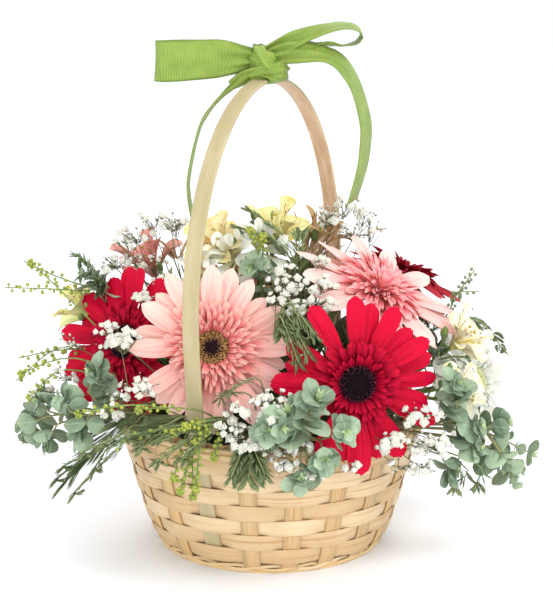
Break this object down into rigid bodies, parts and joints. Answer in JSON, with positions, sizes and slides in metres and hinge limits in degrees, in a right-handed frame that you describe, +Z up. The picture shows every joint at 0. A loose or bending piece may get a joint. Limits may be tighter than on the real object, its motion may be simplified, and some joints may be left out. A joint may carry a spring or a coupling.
{
  "type": "flower basket arrangement",
  "caption": "Round woven bamboo basket with a hoop handle and ribbon bow, filled with gerberas, alstroemerias, eucalyptus, acacia and baby's breath in floral foam.",
  "frame": {"origin": "centre of the basket's flat underside, on the surface that it stands on", "axes": "+Z up, -Y towards the viewer of the front, +X to the viewer's right; the handle's hoop stands 26.5 degrees from +Y towards +X"},
  "size_m": [0.3763, 0.3081, 0.3718],
  "materials": {
    "bamboo": "dry pale bamboo strip",
    "bamboo_skin": "smooth bamboo skin",
    "ribbon": "ribbed grosgrain, matt",
    "liner": "thin film",
    "foam": "wet open-cell foam",
    "petal_pink": "soft petal",
    "petal_red": "velvet petal",
    "petal_dark_red": "velvet petal",
    "petal_white": "soft petal",
    "petal_cream": "waxy petal",
    "petal_dusty": "waxy petal",
    "disc_dark": "dense florets",
    "disc_brown": "dense florets",
    "disc_green": "dense florets",
    "stem": "fresh stem",
    "eucalyptus": "waxy leaf with bloom",
    "acacia": "feathery leaf",
    "buds": "round buds",
    "breath": "small double florets"
  },
  "bodies": {
    "root": {"acacia_leaf_front": "acacia", "acacia_leaf_front_left": "acacia", "acacia_leaf_left": "acacia", "acacia_leaf_right": "acacia", "acacia_leaf_top": "acacia", "alstroemeria_amber_top": "petal_cream", "alstroemeria_cream_left": "petal_cream", "alstroemeria_cream_low": "petal_cream", "alstroemeria_cream_right": "petal_cream", "alstroemeria_cream_top": "petal_cream", "alstroemeria_dusty_left": "petal_dusty", "alstroemeria_lime_left": "petal_cream", "alstroemeria_stem_left": "stem", "alstroemeria_stem_right": "stem", "alstroemeria_stem_top": "stem", "basket_weave": "bamboo", "breath_back": "breath", "breath_centre": "breath", "breath_front": "breath", "breath_left": "breath", "breath_left_top": "breath", "breath_right": "breath", "bud_string_front": "buds", "bud_string_left_high": "buds", "bud_string_left_low": "buds", "bud_string_right": "buds", "eucalyptus_back": "eucalyptus", "eucalyptus_front": "eucalyptus", "eucalyptus_left": "eucalyptus", "eucalyptus_right": "eucalyptus", "eucalyptus_top": "eucalyptus", "floral_foam": "foam", "foot_hoop": "bamboo", "gerbera_dark_red_back_disc": "disc_dark", "gerbera_dark_red_back_petals": "petal_dark_red", "gerbera_dark_red_back_stem": "stem", "gerbera_pink_back_disc": "disc_brown", "gerbera_pink_back_petals": "petal_pink", "gerbera_pink_back_stem": "stem", "gerbera_pink_front_disc": "disc_brown", "gerbera_pink_front_petals": "petal_pink", "gerbera_pink_front_stem": "stem", "gerbera_pink_right_disc": "disc_brown", "gerbera_pink_right_petals": "petal_pink", "gerbera_pink_right_stem": "stem", "gerbera_red_front_disc": "disc_dark", "gerbera_red_front_petals": "petal_red", "gerbera_red_front_stem": "stem", "gerbera_red_left_disc": "disc_dark", "gerbera_red_left_petals": "petal_red", "gerbera_red_left_stem": "stem", "gerbera_white_right_disc": "disc_green", "gerbera_white_right_petals": "petal_white", "gerbera_white_right_stem": "stem", "handle": "bamboo_skin", "liner": "liner", "ribbon_bow": "ribbon", "rim_hoop_inner": "bamboo", "rim_hoop_outer": "bamboo"}
  },
  "joints": []
}
